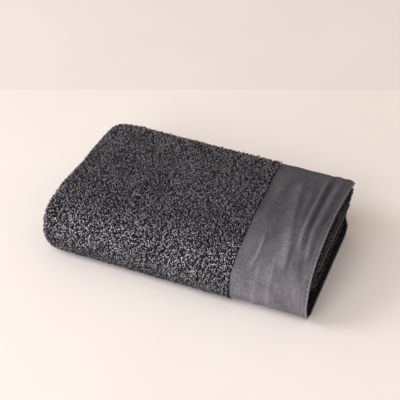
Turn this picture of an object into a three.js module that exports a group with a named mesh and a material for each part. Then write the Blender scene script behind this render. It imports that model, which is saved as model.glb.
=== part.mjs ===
// A bath towel of looped terry cloth with a flat woven border band at one end, folded into sixteen layers.
// Millimetres, +Z up. The long side lies along X, the wrapped side faces -Y and the open end faces +X.
// The towel is folded in four along its length, which makes a pack of four layers, and the pack is then
// folded in four across its width. Depth in the pack is counted in layers from its outer face.
import * as THREE from "three";

// The folded towel.
const FOLDED_LENGTH = 333;
const PACK_LAYERS = 4;
const HALF_STACK = 8;

// The terry cloth: its thickness in layers and in millimetres, and its outer face under the border band.
const TERRY = { layers: 0.84, thickness: 4.4, faceUnderBand: 0.64, hemInset: 1 };

// The border band, sewn on from the hemmed end, with depths in layers and its hem turned under.
const BAND = { width: 90.5, seamStep: 2, outer: 0.36, inner: 0.57, hemWidth: 7, hemRise: 0.12, columns: 20 };
const SEAM_X = FOLDED_LENGTH - BAND.width;

// The folds along the length: centre and half width along X, centre and reach in layers of depth.
const LEFT_TURN = { x: 20, halfWidth: 17.8, depth: 1.96, reach: 1.54, steps: 8 };
const INNER_TURN = { x: 22, halfWidth: 9, depth: 2, reach: 0.5, steps: 6 };
const END_TURN = { x: 327, halfWidth: 5, depth: 3, reach: 0.5, steps: 6 };
const LOOSE_END_X = 332;
const LEG_COLUMNS = [36, 58, 105, 158, 208];
const END_COLUMNS = [273, 305];
const UNDER_BAND_COLUMNS = [258, 273, 289, 305, 319];

// The outer section of the folded stack, from the far top edge over the wrapped side to the surface below it,
// with the steps taken after each row. At the open end the inner layers hang back from the outer one and
// leave a dark pocket behind the hem: hangY and hangZ are where their outermost layer runs there.
const SECTION = [
  { y: 174, z: 77.6, hangY: 174, hangZ: 77.6, steps: 1 },
  { y: 145, z: 80.2, hangY: 145, hangZ: 80.2, steps: 1 },
  { y: 116, z: 82.1, hangY: 116, hangZ: 82.1, steps: 1 },
  { y: 88, z: 82, hangY: 88, hangZ: 82, steps: 1 },
  { y: 60, z: 78.5, hangY: 60, hangZ: 78.5, steps: 1 },
  { y: 32, z: 70.2, hangY: 32, hangZ: 70.2, steps: 2 },
  { y: 11, z: 61.3, hangY: 12, hangZ: 61.5, steps: 2 },
  { y: -2.6, z: 49, hangY: 1, hangZ: 51, steps: 2 },
  { y: -7.6, z: 33, hangY: 7, hangZ: 38, steps: 2 },
  { y: -6.4, z: 19, hangY: 22, hangZ: 24, steps: 2 },
  { y: -1, z: 7.4, hangY: 38, hangZ: 11, steps: 2 },
  { y: 14, z: 0, hangY: 54, hangZ: 0, steps: 1 },
];
const TOP_ROWS = 6;
const FLOOR_STEPS = 3;
const HANG = { fromX: 153, fromLayer: 1 };

// The heart, where the nested layers turn back on themselves, near the wrapped side.
const HEART = { y: 38, hangY: 50 };

// The far fold, which joins the lowest quarter of the stack to the one above it.
const FAR_FOLD = { y: 153, halfWidth: 20.5, steps: 6, squareness: 2.6 };

// How uneven the open end is, along the path across the width: share 0 is the far top edge, 0.37 the foot of
// the wrapped side, 0.5 the far fold and 1 the innermost far edge. Seam and hem are those of the outermost
// layer, whose band is gathered by its creases, and inner is the end of the layers inside it.
const OPEN_END = [
  { share: 0, hem: 2.3, seam: -1.5, inner: 0 },
  { share: 0.026, hem: 0.2, seam: -0.7, inner: -0.3 },
  { share: 0.055, hem: -0.9, seam: 1.7, inner: -0.8 },
  { share: 0.115, hem: -1.1, seam: 1, inner: -1.8 },
  { share: 0.158, hem: -0.2, seam: 0.2, inner: -2.5 },
  { share: 0.205, hem: 0.9, seam: -0.8, inner: -3.5 },
  { share: 0.37, hem: 1, seam: -1, inner: -5 },
  { share: 0.435, hem: -0.6, seam: 0, inner: -6.5 },
  { share: 0.478, hem: -1.5, seam: 0, inner: -6.5 },
  { share: 0.5, hem: -5, seam: 0, inner: -6.5 },
  { share: 0.565, hem: -3, seam: 0, inner: -5 },
  { share: 1, hem: -1.5, seam: 0, inner: -1.7 },
];
const OPEN_END_FROM_X = 150;

// The far edges lie a little unevenly, and the inner ones are drawn further in.
const FAR_EDGES = { fromY: 115, outerPull: 0.4, innerPull: 3, innerGain: 0.4, wave: 1.2, pitch: 57 };

// The left end isn't square: it runs askew over the towel's depth, lies a little further back, and sinks
// towards its fold.
const LEFT_END = { skew: 18, back: 3.8, sink: 0.05, sinkLength: 50 };

// Soft creases across the band: distance from the hem at the far edge, on the crown and at the foot of the
// wrapped side, half width, height in layers, and the stretch of the section that each covers, from 0 to 1.
const CREASES = [
  { far: 28, crown: 27, foot: 25, halfWidth: 5.5, height: 0.3, from: -0.3, to: 0.85 },
  { far: 13, crown: 14, foot: 12, halfWidth: 6.5, height: 0.24, from: -0.3, to: 0.95 },
  { far: 59, crown: 49, foot: 36, halfWidth: 9, height: 0.2, from: -0.3, to: 1 },
  { far: 74, crown: 71, foot: 70, halfWidth: 5, height: 0.2, from: 0.4, to: 0.8 },
];
const CREASE_FADE = 0.18;
const CROWN_SHARE = 0.35;

const FINISH = {
  terry: { color: 0x4a474b, roughness: 0.96, metalness: 0 },
  band: { color: 0x5f5b60, roughness: 0.85, metalness: 0 },
};

const mix = (a, b, t) => a + (b - a) * t;
const clamp01 = (t) => Math.min(1, Math.max(0, t));
const ease = (t) => clamp01(t) ** 2 * (3 - 2 * clamp01(t));

// Samples of a section as points of Y and Z, on a smooth curve through its rows.
function sampleSection(keyY, keyZ) {
  const rows = SECTION.map((row) => new THREE.Vector3(0, row[keyY], row[keyZ]));
  const curve = new THREE.CatmullRomCurve3(rows, false, "centripetal");
  const samples = [];
  SECTION.slice(0, -1).forEach((row, i) => {
    for (let k = 0; k < row.steps; k++) {
      samples.push(curve.getPoint((i + k / row.steps) / (SECTION.length - 1)));
    }
  });
  samples.push(curve.getPoint(1));
  return samples;
}
const TIGHT = sampleSection("y", "z");
const HANGING = sampleSection("hangY", "hangZ");

// Height of the stack over a place on the surface it lies on.
function stackHeight(y) {
  const after = SECTION.slice(1, TOP_ROWS).findIndex((row) => row.y <= y);
  if (y >= SECTION[0].y) return SECTION[0].z;
  if (after < 0) return SECTION[TOP_ROWS - 1].z;
  const [far, near] = [SECTION[after], SECTION[after + 1]];
  return mix(far.z, near.z, (far.y - y) / (far.y - near.y));
}

// The path across the towel's width: over the top, round the wrapped side and back along the bottom, round
// the far fold, then inside to the heart and out to the far edge again.
function pathStations() {
  const outward = TIGHT.map((_, sample) => ({ sample, floorShare: 0 }));
  for (let k = 1; k <= FLOOR_STEPS; k++) {
    outward.push({ sample: TIGHT.length - 1, floorShare: k / FLOOR_STEPS });
  }
  const fold = [];
  for (let k = 1; k < FAR_FOLD.steps; k++) {
    fold.push({ angle: Math.PI * (k / FAR_FOLD.steps - 0.5) });
  }
  const inward = outward.map((station) => ({ ...station, inside: true })).reverse();
  const path = [...outward, ...fold, ...inward];
  return path.map((station, i) => ({ ...station, share: i / (path.length - 1) }));
}
const PATH = pathStations();
const SECTION_SHARE = (TIGHT.length - 1) / (PATH.length - 1);

// A point in the section of the nested layers: nest 0 is the outer face of the stack, HALF_STACK its heart.
function nestPoint(x, station, nest) {
  const loose = nest < HANG.fromLayer ? 0 : ease((x - HANG.fromX) / (FOLDED_LENGTH - HANG.fromX));
  const heartY = mix(HEART.y, HEART.hangY, loose);
  const outer = TIGHT[station.sample].clone().lerp(HANGING[station.sample], loose);
  const y = mix(outer.y, FAR_FOLD.y, station.floorShare);
  const towardsHeart = nest / HALF_STACK;
  return {
    y: y < heartY ? mix(y, heartY, towardsHeart) : y,
    z: mix(outer.z, stackHeight(Math.max(y, heartY)) / 2, towardsHeart),
  };
}

// A point of the far fold at a depth in the pack.
function farFoldPoint(angle, depth) {
  const reach = 1 - depth / PACK_LAYERS;
  const power = mix(1, 2 / FAR_FOLD.squareness, reach);
  const y = FAR_FOLD.y + FAR_FOLD.halfWidth * reach * Math.cos(angle) ** power;
  const rise = Math.sign(angle) * Math.abs(Math.sin(angle)) ** power;
  return { y, z: (stackHeight(y) / PACK_LAYERS) * (1 + reach * rise) };
}

// A value from a table whose rows give it at shares of the path.
function tableValue(rows, key, share) {
  const after = rows.slice(1).findIndex((row) => row.share >= share);
  const [low, high] = [rows[after], rows[after + 1]];
  return mix(low[key], high[key], (share - low.share) / (high.share - low.share));
}

// How far the cloth is shifted along the length towards the uneven open end.
function openEndShift(x, depth, share) {
  if (depth >= HANG.fromLayer) {
    const nearness = ease((x - OPEN_END_FROM_X) / (FOLDED_LENGTH - OPEN_END_FROM_X));
    return tableValue(OPEN_END, "inner", share) * nearness;
  }
  const [hem, seam] = [tableValue(OPEN_END, "hem", share), tableValue(OPEN_END, "seam", share)];
  return x < SEAM_X
    ? seam * ease((x - OPEN_END_FROM_X) / (SEAM_X - OPEN_END_FROM_X))
    : mix(seam, hem, (x - SEAM_X) / BAND.width);
}

// How far a far edge is pulled in at length position x.
function farEdgePull(x, station, depth) {
  const pull = station.inside
    ? FAR_EDGES.innerPull - FAR_EDGES.innerGain * depth
    : FAR_EDGES.outerPull * depth;
  return pull + FAR_EDGES.wave * Math.sin(x / FAR_EDGES.pitch + depth);
}

// Where the cloth at length position x and pack depth lies, for one station of the path across the width.
function place(x, depth, station) {
  const nest = station.inside ? HALF_STACK - depth : depth;
  const { y, z } =
    station.angle === undefined ? nestPoint(x, station, nest) : farFoldPoint(station.angle, depth);
  const edgeShare = station.angle === undefined && !station.floorShare
    ? clamp01((y - FAR_EDGES.fromY) / (SECTION[0].y - FAR_EDGES.fromY))
    : 0;
  const left = clamp01(1 - x / SEAM_X);
  const skew = (LEFT_END.skew * left * y) / SECTION[0].y;
  const sink = 1 - LEFT_END.sink * (1 - ease(x / LEFT_END.sinkLength));
  const back = LEFT_END.back * left - farEdgePull(x, station, depth) * edgeShare;
  return new THREE.Vector3(x + skew + openEndShift(x, depth, station.share), y + back, z * sink);
}

// A straight run of cloth at one depth. side is -1 where its outer face looks to the pack's outside.
function leg(depth, side, columns, outerFace = depth + (side * TERRY.layers) / 2) {
  return columns.map((x) => ({
    outer: { x, depth: outerFace },
    inner: { x, depth: depth - (side * TERRY.layers) / 2 },
  }));
}

// A fold of cloth about the centre of a turn. hand is -1 at the left end and 1 at the open end, side is 1
// where the outer face runs round the outside of the fold, and down is 1 where the depth grows along it.
function turn({ x, halfWidth, depth, reach, steps }, hand, side, down) {
  const face = (angle, sign) => ({
    x: x + hand * (halfWidth + (sign * TERRY.thickness) / 2) * Math.cos(angle),
    depth: depth + down * (reach + (sign * TERRY.layers) / 2) * Math.sin(angle),
  });
  const columns = [];
  for (let k = 1; k < steps; k++) {
    const angle = Math.PI * (k / steps - 0.5);
    columns.push({ outer: face(angle, side), inner: face(angle, -side) });
  }
  return columns;
}

// The terry cloth along its length: from the band's end round the left fold, back, and in to its loose end.
function terryColumns() {
  const first = TERRY.layers / 2;
  const lower = [LEFT_TURN.x, ...LEG_COLUMNS, SEAM_X, ...END_COLUMNS, END_TURN.x];
  const third = [INNER_TURN.x, ...LEG_COLUMNS, SEAM_X, ...END_COLUMNS, END_TURN.x];
  const loose = [INNER_TURN.x, ...LEG_COLUMNS, SEAM_X, ...END_COLUMNS, LOOSE_END_X];
  const underBand = [SEAM_X, ...UNDER_BAND_COLUMNS, FOLDED_LENGTH - TERRY.hemInset];
  const pile = [LEFT_TURN.x, ...LEG_COLUMNS, SEAM_X - BAND.seamStep];
  return [
    ...leg(first, -1, underBand.reverse(), TERRY.faceUnderBand),
    ...leg(first, -1, pile.reverse()),
    ...turn(LEFT_TURN, -1, 1, 1),
    ...leg(3.5, 1, lower),
    ...turn(END_TURN, 1, 1, -1),
    ...leg(2.5, -1, third.reverse()),
    ...turn(INNER_TURN, -1, -1, -1),
    ...leg(1.5, 1, loose),
  ];
}

// How far a crease lifts the band, in layers, at a distance from the hem and a share of the path.
function creaseLift(fromHem, share) {
  const along = share / SECTION_SHARE;
  return CREASES.reduce((lift, crease) => {
    const centre = along < CROWN_SHARE
      ? mix(crease.far, crease.crown, along / CROWN_SHARE)
      : mix(crease.crown, crease.foot, clamp01((along - CROWN_SHARE) / (1 - CROWN_SHARE)));
    const fade = ease((along - crease.from) / CREASE_FADE) * ease((crease.to - along) / CREASE_FADE);
    const across = ease(1 - Math.abs(fromHem - centre) / crease.halfWidth);
    return Math.max(lift, crease.height * fade * across);
  }, 0);
}

// The band along its length, hem first. Its hem is turned under, so it is thicker and has a rounded edge.
function bandColumns() {
  const columns = [];
  for (let k = 0; k <= BAND.columns; k++) {
    const fromHem = (BAND.width * k) / BAND.columns;
    const hem = fromHem < BAND.hemWidth && k > 0 ? BAND.hemRise : 0;
    const x = FOLDED_LENGTH - fromHem;
    columns.push({ outer: { x, depth: BAND.outer - hem }, inner: { x, depth: BAND.inner }, fromHem });
  }
  return columns;
}

// A closed sheet: its columns run along the towel's length, its rings follow the width, and both ends are
// capped.
function sheetGeometry(columns, lift = () => 0) {
  const ring = [
    ...columns.map(({ outer, fromHem }) => ({ ...outer, fromHem })),
    ...columns.map(({ inner, fromHem }) => ({ ...inner, fromHem })).reverse(),
  ];
  const corners = PATH.flatMap((station) =>
    ring.map(({ x, depth, fromHem }) => place(x, depth - lift(fromHem, station.share), station)),
  );
  const size = ring.length;
  const index = [];
  for (let row = 0; row + 1 < PATH.length; row++) {
    for (let i = 0; i < size; i++) {
      const [a, b] = [row * size + i, row * size + ((i + 1) % size)];
      index.push(a, b, b + size, a, b + size, a + size);
    }
  }
  const last = (PATH.length - 1) * size;
  for (let i = 0; i + 1 < columns.length; i++) {
    const [a, b, c, d] = [i, i + 1, size - 2 - i, size - 1 - i];
    index.push(a, c, b, a, d, c);
    index.push(last + a, last + b, last + c, last + a, last + c, last + d);
  }
  const geometry = new THREE.BufferGeometry().setFromPoints(corners);
  geometry.setIndex(index);
  geometry.computeVertexNormals();
  return geometry;
}

function piece(name, geometry, finish) {
  const mesh = new THREE.Mesh(geometry, new THREE.MeshStandardMaterial(finish));
  mesh.name = name;
  return mesh;
}

// The towel, with the middle of its footprint at the origin.
function makeTowel() {
  const towel = new THREE.Group();
  towel.add(
    piece("terry_towel", sheetGeometry(terryColumns()), FINISH.terry),
    piece("border_band", sheetGeometry(bandColumns(), creaseLift), FINISH.band),
  );
  const middle = new THREE.Box3().setFromObject(towel).getCenter(new THREE.Vector3());
  towel.position.set(-middle.x, -middle.y, 0);
  return towel;
}

export default makeTowel();
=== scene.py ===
"""A bath towel of looped terry cloth with a flat woven border band, folded into sixteen layers.

The towel is folded in four along its length, which makes a pack of four layers, and the pack is then
folded in four across its width. Its layout is worked out in millimetres, as the solids are, and the
meshes are in metres.
"""

import logging
import math
from dataclasses import dataclass, field
from enum import Enum
from typing import NamedTuple

import bpy
import numpy as np
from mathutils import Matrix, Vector


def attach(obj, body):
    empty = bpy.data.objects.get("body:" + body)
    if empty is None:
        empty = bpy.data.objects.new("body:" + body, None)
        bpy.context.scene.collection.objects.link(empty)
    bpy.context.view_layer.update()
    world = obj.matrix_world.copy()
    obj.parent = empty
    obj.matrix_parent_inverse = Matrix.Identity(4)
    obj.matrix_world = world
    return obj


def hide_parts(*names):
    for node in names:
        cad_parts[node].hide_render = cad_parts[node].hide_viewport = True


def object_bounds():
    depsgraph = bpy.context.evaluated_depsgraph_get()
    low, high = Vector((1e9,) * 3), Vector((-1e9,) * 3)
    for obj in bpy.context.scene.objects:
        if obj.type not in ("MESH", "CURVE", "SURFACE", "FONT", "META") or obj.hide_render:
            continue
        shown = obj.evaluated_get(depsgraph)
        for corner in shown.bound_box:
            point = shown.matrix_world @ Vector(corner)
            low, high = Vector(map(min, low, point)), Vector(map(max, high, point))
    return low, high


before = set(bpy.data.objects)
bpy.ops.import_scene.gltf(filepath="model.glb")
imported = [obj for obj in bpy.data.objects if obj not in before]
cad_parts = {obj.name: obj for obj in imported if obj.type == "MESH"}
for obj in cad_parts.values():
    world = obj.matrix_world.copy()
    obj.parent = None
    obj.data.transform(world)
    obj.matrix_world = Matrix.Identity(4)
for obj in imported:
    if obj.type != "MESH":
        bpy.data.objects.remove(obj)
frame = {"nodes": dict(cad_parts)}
CAD_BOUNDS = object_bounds()

MM = 0.001
TINY = 1e-9
FINE = 1500
LOG = logging.getLogger("towel")
Array = np.ndarray
Colour = tuple[float, float, float, float]
Line = tuple[tuple[float, float], ...]


def ease(t: Array) -> Array:
    """A smooth step from 0 to 1 as t goes from 0 to 1."""
    t = np.clip(t, 0.0, 1.0)
    return t * t * (3.0 - 2.0 * t)


def mix(a: Array, b: Array, t: Array) -> Array:
    """A value between a and b, at share t."""
    return a + (b - a) * t


def bell(offset: Array, width: float) -> Array:
    """A soft bump of height 1 over an offset."""
    return np.exp(-((offset / width) ** 2))


def unit(v: Array) -> Array:
    """Vectors scaled to length 1."""
    return v / np.maximum(np.linalg.norm(v, axis=-1, keepdims=True), 1e-12)


def square_to(v: Array, normal: Array) -> Array:
    """Vectors turned square to the normals, at length 1."""
    return unit(v - normal * np.sum(v * normal, axis=1, keepdims=True))


def arc_lengths(points: Array) -> Array:
    """Lengths along a line of points, from its first one."""
    return np.concatenate([[0.0], np.cumsum(np.linalg.norm(np.diff(points, axis=0), axis=1))])


def wander(a: Array, b: Array, scale: float, seed: int) -> Array:
    """A smooth uneven value from about -1 to 1 over two coordinates.

    Args:
        a: first coordinate.
        b: second coordinate.
        scale: size of the larger swells, in the coordinates' unit.
        seed: seed of the waves' directions and phases.

    Returns:
        The value at each point.
    """
    rng = np.random.default_rng(seed)
    total = np.zeros(np.broadcast(a, b).shape)
    waves, smallest, largest, spread = 9, 0.45, 1.3, 1.4
    for _ in range(waves):
        angle, phase = rng.uniform(0, 2 * math.pi, 2)
        size = scale * rng.uniform(smallest, largest)
        total = total + np.sin((a * math.cos(angle) + b * math.sin(angle)) * 2 * math.pi / size + phase)
    return total / waves**0.5 / spread


# Layout of the folded cloth


class SectionRow(NamedTuple):
    """A point of the stack's outer section, tight and hanging back, and the stations taken after it."""

    y: float
    z: float
    hang_y: float
    hang_z: float
    steps: int


class EndRow(NamedTuple):
    """How uneven the open end is at a share of the path across the width."""

    share: float
    hem: float
    seam: float
    inner: float


class Turn(NamedTuple):
    """A fold along the length: its centre and half width along X, and its centre and reach in layers."""

    x: float
    half_width: float
    depth: float
    reach: float


class LeftEdge(NamedTuple):
    """How far the left fold lies out to the left, and how far it is lifted, at a station."""

    station: float
    out: float
    lift: float


@dataclass(frozen=True)
class FoldLayout:
    """Where any point of the cloth lies, by length position, depth in the pack and station across the width.

    Stations count the steps of the path across the width: over the top up to top_end, down the wrapped
    side up to section_end, along the surface up to fold_start, round the far fold up to fold_end, and
    inside again.
    """

    length: float = 333.0
    band_width: float = 90.5
    pack_layers: float = 4.0
    half_stack: float = 8.0
    rows: tuple[SectionRow, ...] = (
        SectionRow(174, 77.6, 174, 77.6, 1),
        SectionRow(145, 80.2, 145, 80.2, 1),
        SectionRow(116, 82.1, 116, 82.1, 1),
        SectionRow(88, 82, 88, 82, 1),
        SectionRow(60, 78.5, 60, 78.5, 1),
        SectionRow(32, 70.2, 32, 70.2, 2),
        SectionRow(11, 61.3, 12, 61.5, 2),
        SectionRow(-2.6, 49, 1, 51, 2),
        SectionRow(-7.6, 33, 7, 38, 2),
        SectionRow(-6.4, 19, 22, 24, 2),
        SectionRow(-1, 7.4, 38, 11, 2),
        SectionRow(14, 0, 54, 0, 1),
    )
    top_rows: int = 6
    top_end: float = 5.0
    floor_steps: int = 3
    hang_from_x: float = 153.0
    hang_from_layer: float = 1.0
    heart_y: float = 38.0
    heart_hang_y: float = 50.0
    fold_y: float = 153.0
    fold_half_width: float = 20.5
    fold_steps: int = 6
    fold_squareness: float = 2.6
    open_end: tuple[EndRow, ...] = (
        EndRow(0, 2.3, -1.5, 0),
        EndRow(0.026, 0.2, -0.7, -0.3),
        EndRow(0.055, -0.9, 1.7, -0.8),
        EndRow(0.115, -1.1, 1, -1.8),
        EndRow(0.158, -0.2, 0.2, -2.5),
        EndRow(0.205, 0.9, -0.8, -3.5),
        EndRow(0.37, 1, -1, -5),
        EndRow(0.435, -0.6, 0, -6.5),
        EndRow(0.478, -1.5, 0, -6.5),
        EndRow(0.5, -5, 0, -6.5),
        EndRow(0.565, -3, 0, -5),
        EndRow(1, -1.5, 0, -1.7),
    )
    open_end_from_x: float = 150.0
    edge_from_y: float = 115.0
    edge_outer_pull: float = 0.4
    edge_inner_pull: float = 3.0
    edge_inner_gain: float = 0.4
    edge_wave: float = 1.2
    edge_pitch: float = 57.0
    left_skew: float = 18.0
    left_back: float = 3.8
    left_sink: float = 0.05
    left_sink_length: float = 50.0
    left_edge: tuple[LeftEdge, ...] = (
        LeftEdge(0, -3.5, 2.2),
        LeftEdge(0.12, -1.2, 3.2),
        LeftEdge(0.3, 0.3, 3.6),
        LeftEdge(0.7, 1.0, 3.2),
        LeftEdge(1.3, 0.0, 2.4),
        LeftEdge(2.2, -1.8, 1.4),
        LeftEdge(3.1, -2.2, 0.4),
        LeftEdge(3.8, -0.4, 0),
        LeftEdge(4.4, 1.8, 0),
        LeftEdge(5.2, 2.4, 0),
        LeftEdge(7, 2.2, 0),
        LeftEdge(9, 0.6, 0),
        LeftEdge(11, 0, 0),
        LeftEdge(14, -1.6, 0),
        LeftEdge(17, -3.5, 0),
    )
    left_edge_length: float = 120.0

    @property
    def seam_x(self) -> float:
        """Length position of the seam between pile and band."""
        return self.length - self.band_width

    @property
    def section_end(self) -> float:
        """Station at the foot of the wrapped side."""
        return float(sum(row.steps for row in self.rows[:-1]))

    @property
    def fold_start(self) -> float:
        """Station where the far fold begins."""
        return self.section_end + self.floor_steps

    @property
    def fold_end(self) -> float:
        """Station where the far fold ends."""
        return self.fold_start + self.fold_steps

    @property
    def path_end(self) -> float:
        """Station at the innermost far edge."""
        return 2 * self.fold_start + self.fold_steps

    def outward(self, steps: tuple[int, int, int]) -> Array:
        """Stations from the far edge up to the far fold.

        Args:
            steps: how many there are over the top, down the side and along the surface.

        Returns:
            The stations, without the last one.
        """
        stops = (0, self.top_end, self.section_end, self.fold_start)
        spans = zip(stops, stops[1:], steps)
        return np.concatenate([np.linspace(start, end, count + 1)[:-1] for start, end, count in spans])

    def stack_height(self, y: Array) -> Array:
        """Height of the stack over a place on the surface it lies on."""
        top = self.rows[: self.top_rows][::-1]
        return np.interp(y, [row.y for row in top], [row.z for row in top])

    def section_curve(self, station: Array, keys: tuple[str, str]) -> tuple[Array, Array]:
        """The outer section as a smooth curve through its rows.

        Args:
            station: stations from 0 to section_end.
            keys: the rows' two named columns.

        Returns:
            The two coordinates at each station.
        """
        points = np.array([[getattr(row, key) for key in keys] for row in self.rows], float)
        points = np.vstack([2 * points[0] - points[1], points, 2 * points[-1] - points[-2]])
        starts = np.concatenate([[0.0], np.cumsum([row.steps for row in self.rows[:-1]])])
        at = np.interp(station, starts, np.arange(len(self.rows)))
        part = np.minimum(at.astype(int), len(self.rows) - 2)
        p0, p1, p2, p3 = (points[part + k] for k in range(4))
        d0, d1, d2 = (
            np.maximum(np.linalg.norm(b - a, axis=-1, keepdims=True), 1e-6) ** 0.5
            for a, b in ((p0, p1), (p1, p2), (p2, p3))
        )
        slope1 = ((p1 - p0) / d0 - (p2 - p0) / (d0 + d1) + (p2 - p1) / d1) * d1
        slope2 = ((p2 - p1) / d1 - (p3 - p1) / (d1 + d2) + (p3 - p2) / d2) * d1
        t = (at - part)[..., None]
        curve = p1 + slope1 * t
        curve = curve + (3 * (p2 - p1) - 2 * slope1 - slope2) * t**2
        curve = curve + (2 * (p1 - p2) + slope1 + slope2) * t**3
        return curve[..., 0], curve[..., 1]

    def nest_point(self, x: Array, along: Array, nest: Array) -> tuple[Array, Array]:
        """A point in the section of the nested layers.

        Args:
            x: length positions.
            along: stations from 0 to fold_start.
            nest: 0 on the stack's outer face and half_stack at its heart.

        Returns:
            Y and Z.
        """
        loose = ease((x - self.hang_from_x) / (self.length - self.hang_from_x))
        loose = np.where(nest < self.hang_from_layer, 0.0, loose)
        heart_y = mix(self.heart_y, self.heart_hang_y, loose)
        section = np.minimum(along, self.section_end)
        tight_y, tight_z = self.section_curve(section, ("y", "z"))
        hang_y, hang_z = self.section_curve(section, ("hang_y", "hang_z"))
        floor_share = np.clip((along - self.section_end) / self.floor_steps, 0, 1)
        y = mix(mix(tight_y, hang_y, loose), self.fold_y, floor_share)
        towards = nest / self.half_stack
        heart_z = self.stack_height(np.maximum(y, heart_y)) / 2
        z = mix(mix(tight_z, hang_z, loose), heart_z, towards)
        return np.where(y < heart_y, mix(y, heart_y, towards), y), z

    def far_fold_point(self, angle: Array, depth: Array) -> tuple[Array, Array]:
        """A point of the far fold.

        Args:
            angle: from -90 degrees at the surface to 90 on top, in radians.
            depth: depths in the pack.

        Returns:
            Y and Z.
        """
        reach = 1 - depth / self.pack_layers
        power = mix(1, 2 / self.fold_squareness, reach)
        y = self.fold_y + self.fold_half_width * reach * np.maximum(np.cos(angle), 0) ** power
        rise = np.sign(angle) * np.abs(np.sin(angle)) ** power
        return y, self.stack_height(y) / self.pack_layers * (1 + reach * rise)

    def open_end_shift(self, x: Array, depth: Array, share: Array) -> Array:
        """How far the cloth is shifted along the length towards the uneven open end.

        Args:
            x: length positions.
            depth: depths in the pack.
            share: shares of the path across the width.

        Returns:
            Shifts along the length.
        """
        shares = [row.share for row in self.open_end]
        hem, seam, inner = (
            np.interp(share, shares, [getattr(row, key) for row in self.open_end])
            for key in ("hem", "seam", "inner")
        )
        near = ease((x - self.open_end_from_x) / (self.length - self.open_end_from_x))
        before = seam * ease((x - self.open_end_from_x) / (self.seam_x - self.open_end_from_x))
        outer = np.where(x < self.seam_x, before, mix(seam, hem, (x - self.seam_x) / self.band_width))
        return np.where(depth >= self.hang_from_layer, inner * near, outer)

    def left_edge_at(self, x: Array, along: Array) -> tuple[Array, Array]:
        """How the cloth near the left fold is moved.

        Args:
            x: length positions.
            along: stations from 0 to fold_start.

        Returns:
            How far it lies out, and how far it is lifted.
        """
        stations = [row.station for row in self.left_edge]
        near = 1 - ease(x / self.left_edge_length)
        out = np.interp(along, stations, [row.out for row in self.left_edge])
        lift = np.interp(along, stations, [row.lift for row in self.left_edge])
        return out * near, lift * near

    def place(self, x: Array, depth: Array, station: Array) -> Array:
        """Where points of the cloth lie, in the layout's own millimetres.

        Args:
            x: length positions, 0 at the left fold and length at the hem.
            depth: depths in the pack, in layers from its outer face.
            station: stations across the width.

        Returns:
            Points, with the coordinates in the last axis.
        """
        x, depth, station = (np.asarray(a, float) for a in np.broadcast_arrays(x, depth, station))
        inside = station > (self.fold_start + self.fold_end) / 2
        folding = (station > self.fold_start) & (station < self.fold_end)
        along = np.clip(np.where(inside, self.path_end - station, station), 0, self.fold_start)
        y, z = self.nest_point(x, along, np.where(inside, self.half_stack - depth, depth))
        angle = math.pi * (np.clip((station - self.fold_start) / self.fold_steps, 0, 1) - 0.5)
        fold_y, fold_z = self.far_fold_point(angle, depth)
        y, z = np.where(folding, fold_y, y), np.where(folding, fold_z, z)
        far_y = self.rows[0].y
        edge = np.clip((y - self.edge_from_y) / (far_y - self.edge_from_y), 0, 1)
        edge = np.where(folding | (along > self.section_end), 0.0, edge)
        inner_pull = self.edge_inner_pull - self.edge_inner_gain * depth
        pull = np.where(inside, inner_pull, self.edge_outer_pull * depth)
        pull = pull + self.edge_wave * np.sin(x / self.edge_pitch + depth)
        left = np.clip(1 - x / self.seam_x, 0, 1)
        shift = self.open_end_shift(x, depth, station / self.path_end)
        sink = 1 - self.left_sink * (1 - ease(x / self.left_sink_length))
        out, lift = self.left_edge_at(x, along)
        across = y + self.left_back * left - pull * edge
        along_x = x + self.left_skew * left * y / far_y + shift - out
        return np.stack([along_x, across, z * (sink + lift / self.rows[0].z)], axis=-1)


LAYOUT = FoldLayout()
LAYER_MM = 5.0
HALF_CLOTH = 2.2
HALF_LAYERS = 0.42
LEFT_TURN = Turn(x=20, half_width=17.8, depth=1.96, reach=1.54)
INNER_TURN = Turn(x=22, half_width=9, depth=2, reach=0.5)
END_TURN = Turn(x=327, half_width=5, depth=3, reach=0.5)
SECOND_LAYER, THIRD_LAYER, FOURTH_LAYER = 1.5, 2.5, 3.5
LOOSE_END_X = 332.0


@dataclass
class Strip:
    """The cloth along its length: matching points of both faces, as length position and depth."""

    outer: list[tuple[float, float]] = field(default_factory=list)
    inner: list[tuple[float, float]] = field(default_factory=list)

    def leg(self, xs: Array, outer_depth: float, inner_depth: float) -> "Strip":
        """Adds a straight run of cloth.

        Args:
            xs: length positions.
            outer_depth: depth of the outer face.
            inner_depth: depth of the inner face.

        Returns:
            The strip.
        """
        self.outer += [(float(x), outer_depth) for x in xs]
        self.inner += [(float(x), inner_depth) for x in xs]
        return self

    def turn(self, fold: Turn, hand: int, down: int, over: tuple[float, float], under: tuple[float, float],
             steps: int) -> "Strip":
        """Adds a fold of cloth.

        Args:
            fold: the fold's sizes.
            hand: -1 at the left end and 1 at the open end.
            down: 1 where the depth grows along the fold, else -1.
            over: the outer face's offset from the cloth's middle, in millimetres and in layers.
            under: the inner face's offset in the same way.
            steps: columns in the fold.

        Returns:
            The strip.
        """
        for k in range(1, steps):
            angle = math.pi * (k / steps - 0.5)
            for face, (wide, deep) in ((self.outer, over), (self.inner, under)):
                x = fold.x + hand * (fold.half_width + wide) * math.cos(angle)
                face.append((x, fold.depth + down * (fold.reach + deep) * math.sin(angle)))
        return self


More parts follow.
